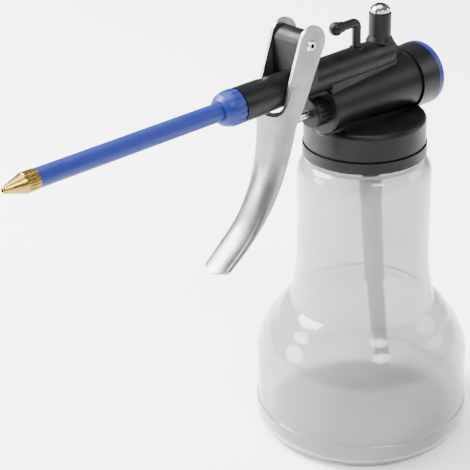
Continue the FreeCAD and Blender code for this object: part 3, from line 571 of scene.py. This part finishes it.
def arc(start: Point, through: Point, end: Point, steps: int = 10) -> Outline:
    """Points of the circle through three points, its end left out.

    Args:
        start: first point.
        through: a point on the way.
        end: last point.
        steps: pieces of the arc.

    Returns:
        The points from start up to, but without, the end.
    """
    a, b, c = Vector(start), Vector(through), Vector(end)
    ab, ac = b - a, c - a
    twice = 2 * (ab.x * ac.y - ab.y * ac.x)
    across = Vector((ac.y * ab.length_squared - ab.y * ac.length_squared,
                     ab.x * ac.length_squared - ac.x * ab.length_squared)) / twice
    centre = a + across
    spokes = [p - centre for p in (a, b, c)]
    sweep = -(spokes[0].angle_signed(spokes[1]) + spokes[1].angle_signed(spokes[2]))
    points = []
    for k in range(steps):
        turn = Matrix.Rotation(sweep * k / steps, 2)
        points.append(tuple(centre + turn @ spokes[0]))
    return points


# ---- bottle -------------------------------------------------------------------------------------
@dataclass
class Bottle:
    """Blow-moulded bottle with uneven walls and a threaded neck; sizes in millimetres."""

    base_r: float = 40.5
    base_edge: float = 6.6
    foot_top: float = 11.0
    foot_step: float = 1.4
    belly_r: float = 39.9
    belly_middle: float = 22.0
    belly_top: float = 32.5
    belly_bend: Point = (37.9, 39.0)
    dome: Point = (33.2, 46.2)
    shoulder_bend: Point = (30.5, 50.1)
    crease: Point = (27.3, 53.0)
    hollow_bend: Point = (25.5, 62.0)
    column_r: float = 24.5
    column_bottom: float = 76.0
    column_step: float = 9.5
    column_top: float = 104.5
    top_bend: Point = (23.6, 108.2)
    bead: Point = (21.8, 110.2)
    bead_height: float = 1.2
    bead_slope: float = 0.4
    wall: float = 1.6
    floor: float = 2.2
    floor_corner: float = 3.5
    floor_bend: float = 1.0
    inner_belly_bend: Point = (36.35, 38.4)
    inner_shoulder_bend: Point = (29.3, 49.0)
    inner_hollow_bend: Point = (23.9, 62.0)
    inner_top_bend: Point = (21.4, 107.0)
    belly_foot: float = 14.0
    neck_r: float = 18.2
    bore_r: float = 16.4
    rim: float = 120.4
    rim_edge: float = 0.3
    pitch: float = 4.0
    thread_start: float = 114.2
    thread_height: float = 1.2
    thread_sink: float = 0.35
    thread_foot: float = 1.1
    thread_tip: float = 0.6
    thread_turns: float = 1.25
    thread_steps: int = 60
    unevenness: float = 0.35
    segments: int = 144

    def outside(self) -> Outline:
        """Outer half outline, from the middle of the base to the rim.

        Returns:
            (radius, z) points in millimetres.
        """
        edge = self.base_edge * (1 - math.sqrt(0.5))
        foot = self.base_r - self.base_edge
        step_top = (self.belly_r, self.foot_top + self.foot_step)
        ledge_r, ledge = self.bead
        neck_foot = ledge + self.bead_height + self.bead_slope
        points = [(0.0, 0.0), (foot * 0.5, 0.0)]
        points += arc((foot, 0.0), (self.base_r - edge, edge), (self.base_r, self.base_edge))
        points += [(self.base_r, self.base_edge), (self.base_r, self.foot_top - 0.5)]
        points += curve((self.base_r, self.foot_top), (self.belly_r, self.foot_top + 0.5), step_top, 4)
        points += [step_top, (self.belly_r, self.belly_middle)]
        points += arc((self.belly_r, self.belly_top), self.belly_bend, self.dome, 12)
        points += arc(self.dome, self.shoulder_bend, self.crease, 8)
        points += arc(self.crease, self.hollow_bend, (self.column_r, self.column_bottom), 14)
        points += [(self.column_r, self.column_bottom + self.column_step * k) for k in range(3)]
        points += arc((self.column_r, self.column_top), self.top_bend, self.bead, 8)
        points += [self.bead, (ledge_r, ledge + self.bead_height), (self.neck_r, neck_foot)]
        points += [(self.neck_r, self.rim - self.rim_edge), (self.neck_r - self.rim_edge, self.rim)]
        return points

    def inside(self) -> Outline:
        """Inner half outline, from the rim down to the middle of the floor.

        Returns:
            (radius, z) points in millimetres.
        """
        belly = self.belly_r - self.wall
        column = self.column_r - self.wall
        column_top = self.column_top - 1.0
        waist = (self.crease[0] - self.wall, self.crease[1] - 0.6)
        shoulder = (self.dome[0] - self.wall, self.dome[1] - 0.9)
        corner_top = (belly, self.floor + self.floor_corner)
        corner = (belly - self.floor_bend, self.floor + self.floor_bend)
        corner_end = (belly - self.floor_corner, self.floor)
        points = [(self.bore_r + self.rim_edge, self.rim), (self.bore_r, self.rim - self.rim_edge)]
        points += arc((self.bore_r, self.bead[1] - 0.5), self.inner_top_bend, (column, column_top), 8)
        points += [(column, column_top - self.column_step * k) for k in range(3)]
        points += arc((column, self.column_bottom), self.inner_hollow_bend, waist, 14)
        points += arc(waist, self.inner_shoulder_bend, shoulder, 8)
        points += arc(shoulder, self.inner_belly_bend, (belly, self.belly_top), 12)
        points += [(belly, self.belly_top), (belly, self.belly_middle), (belly, self.belly_foot)]
        points += arc(corner_top, corner, corner_end, 6)
        points += [corner_end, (belly * 0.5, self.floor), (0.0, self.floor)]
        return points

    def wave_inner_wall(self, bm: bmesh.types.BMesh) -> None:
        """Make the wall a little thicker here and thinner there, from the inside only.

        Args:
            bm: the spun bottle.
        """
        inner = {(round(r * MM, 6), round(z * MM, 6)) for r, z in self.inside()[2:-3]}
        for vert in bm.verts:
            radius = math.hypot(vert.co.x, vert.co.y)
            if (round(radius, 6), round(vert.co.z, 6)) in inner:
                wave = noise.noise(vert.co * WIDE_WAVE) + 0.5 * noise.noise(vert.co * TIGHT_WAVE)
                share = 1 + self.unevenness * MM * wave / radius
                vert.co.x *= share
                vert.co.y *= share

    def walls(self) -> bmesh.types.BMesh:
        """Floor, walls and neck as one closed shell.

        Returns:
            The mesh, in metres.
        """
        bm = spun(metres(self.outside() + self.inside()), self.segments)
        self.wave_inner_wall(bm)
        return bm

    def thread(self) -> bmesh.types.BMesh:
        """The neck's thread: a trapezium led up a helix.

        Returns:
            The mesh, in metres.
        """
        bm = bmesh.new()
        foot, tip = self.neck_r - self.thread_sink, self.neck_r + self.thread_height
        low, high = self.thread_start - self.thread_foot, self.thread_start + self.thread_foot
        tip_low, tip_high = self.thread_start - self.thread_tip, self.thread_start + self.thread_tip
        corners = metres([(foot, low), (tip, tip_low), (tip, tip_high), (foot, high)])
        face = bm.faces.new([bm.verts.new((r, 0.0, z)) for r, z in corners])
        rise = self.pitch * MM * self.thread_turns / self.thread_steps
        bmesh.ops.spin(bm, geom=[face], cent=(0, 0, 0), axis=(0, 0, 1), angle=FULL_TURN * self.thread_turns,
                       steps=self.thread_steps, dvec=(0, 0, rise), use_merge=False)
        return bm

    def build(self, workshop: Workshop) -> None:
        """Make the bottle's walls and its thread, and stand them in for the CAD bottle.

        Args:
            workshop: finishes and the way to the frame.
        """
        workshop.dress("bottle")
        workshop.hand_over(self.walls(), "bottle_walls", "bottle", "clear_plastic", ("bottle",), 24.0)
        workshop.hand_over(self.thread(), "bottle_thread", "bottle", "clear_plastic")


# ---- sub-assemblies that keep their CAD meshes --------------------------------------------------
@dataclass(frozen=True)
class DressedGroup:
    """A sub-assembly whose CAD nodes keep their meshes and get their finishes."""

    name: str
    nodes: tuple[str, ...]

    def build(self, workshop: Workshop) -> None:
        """Dress every node of the group.

        Args:
            workshop: finishes and the way to the frame.
        """
        for node in self.nodes:
            workshop.dress(node)
        log.info("%s: %d nodes dressed", self.name, len(self.nodes))


GROUPS = (
    DressedGroup("suction side", ("neck_gasket", "suction_valve_body",
                                  "suction_ball", "dip_sleeve", "dip_tube")),
    DressedGroup("pump head", ("pump_head", "gland_nut", "gland_seal",
                               "rear_cap", "rear_disc", "rear_cap_seal")),
    DressedGroup("plunger", ("piston_rod", "piston", "piston_seal", "return_spring")),
    DressedGroup("delivery valve", ("discharge_ball", "discharge_spring",
                                    "valve_plug_screw", "valve_plug_seal")),
    DressedGroup("cock", ("cock_lever", "cock_bush", "cock_seal")),
    DressedGroup("trigger", ("trigger_lever", "pivot_pin")),
    DressedGroup("spout", ("spout_nut", "spout_washer", "spout_tube", "nozzle")),
)


# ---- stage --------------------------------------------------------------------------------------
@dataclass(frozen=True)
class Lamp:
    """A round soft lamp that shines at the middle of the oiler."""

    name: str
    place: tuple[float, float, float]
    size: float
    power: float
    aim: tuple[float, float, float] = (0.0, 0.0, 0.08)

    def hang(self) -> None:
        """Put the lamp in the scene."""
        lamp = bpy.data.lights.new(self.name, "AREA")
        lamp.shape = "DISK"
        lamp.size = self.size
        lamp.energy = self.power
        holder = bpy.data.objects.new(self.name, lamp)
        way = Vector(self.aim) - Vector(self.place)
        turn = way.to_track_quat("-Z", "Y").to_matrix().to_4x4()
        holder.matrix_world = Matrix.Translation(self.place) @ turn
        bpy.context.scene.collection.objects.link(holder)


LAMPS = (
    Lamp("key", (-0.35, -1.0, 1.15), size=0.5, power=22.0),
    Lamp("fill", (0.9, -0.6, 0.6), size=0.6, power=7.0),
    Lamp("top", (0.05, 0.2, 1.5), size=0.9, power=26.0),
    Lamp("back", (-0.45, 0.80, 1.0), size=0.7, power=92.0),
    Lamp("side", (-1.15, 0.95, 0.50), size=0.6, power=36.0),
)


@dataclass
class Stage:
    """Pale floor, soft lights and the camera."""

    lens: float = 111.06
    sensor: float = 36.0
    nearest: float = 0.01
    place: tuple[float, float, float] = (-0.35853, -0.32430, 0.31920)
    yaw: float = math.radians(-42.24)
    pitch: float = math.radians(-26.49)
    roll: float = math.radians(-1.54)
    floor_size: float = 6.0
    floor_tone: float = 0.97
    surround: float = 0.42

    def build(self) -> None:
        """Make floor, light and camera."""
        self.lay_floor()
        self.light()
        self.aim_camera()
        log.info("stage ready")

    def lay_floor(self) -> None:
        """Lay the floor that the base stands on."""
        bm = bmesh.new()
        bmesh.ops.create_grid(bm, x_segments=2, y_segments=2, size=self.floor_size)
        mesh = bpy.data.meshes.new("floor")
        bm.to_mesh(mesh)
        bm.free()
        floor = bpy.data.objects.new("floor", mesh)
        bpy.context.scene.collection.objects.link(floor)
        mesh.materials.append(StudioPaper("studio_paper", self.floor_tone).make())

    def light(self) -> None:
        """Soft lamps and a pale surrounding."""
        for lamp in LAMPS:
            lamp.hang()
        world = bpy.data.worlds.new("surround")
        world.use_nodes = True
        ground = world.node_tree.nodes["Background"]
        ground.inputs["Color"].default_value = (1.0, 1.0, 1.0, 1.0)
        ground.inputs["Strength"].default_value = self.surround
        bpy.context.scene.world = world

    def aim_camera(self) -> None:
        """Set the camera at its place and angle."""
        level = math.cos(self.pitch)
        forward = Vector((-math.sin(self.yaw) * level, math.cos(self.yaw) * level, math.sin(self.pitch)))
        right = Vector((math.cos(self.yaw), math.sin(self.yaw), 0.0))
        up = right.cross(forward)
        side = right * math.cos(self.roll) + up * math.sin(self.roll)
        top = up * math.cos(self.roll) - right * math.sin(self.roll)
        data = bpy.data.cameras.new("camera")
        data.lens = self.lens
        data.sensor_width = self.sensor
        data.clip_start = self.nearest
        camera = bpy.data.objects.new("camera", data)
        turn = Matrix((side, top, -forward)).transposed().to_4x4()
        camera.matrix_world = Matrix.Translation(self.place) @ turn
        bpy.context.scene.collection.objects.link(camera)
        bpy.context.scene.camera = camera


def main() -> None:
    """Build the looks piece by piece."""
    logging.basicConfig(level=logging.INFO, format="%(name)s %(message)s")
    workshop = Workshop()
    Bottle().build(workshop)
    for group in GROUPS:
        group.build(workshop)
    Stage().build()
    bpy.context.view_layer.update()


if __name__ == "__main__":
    main()
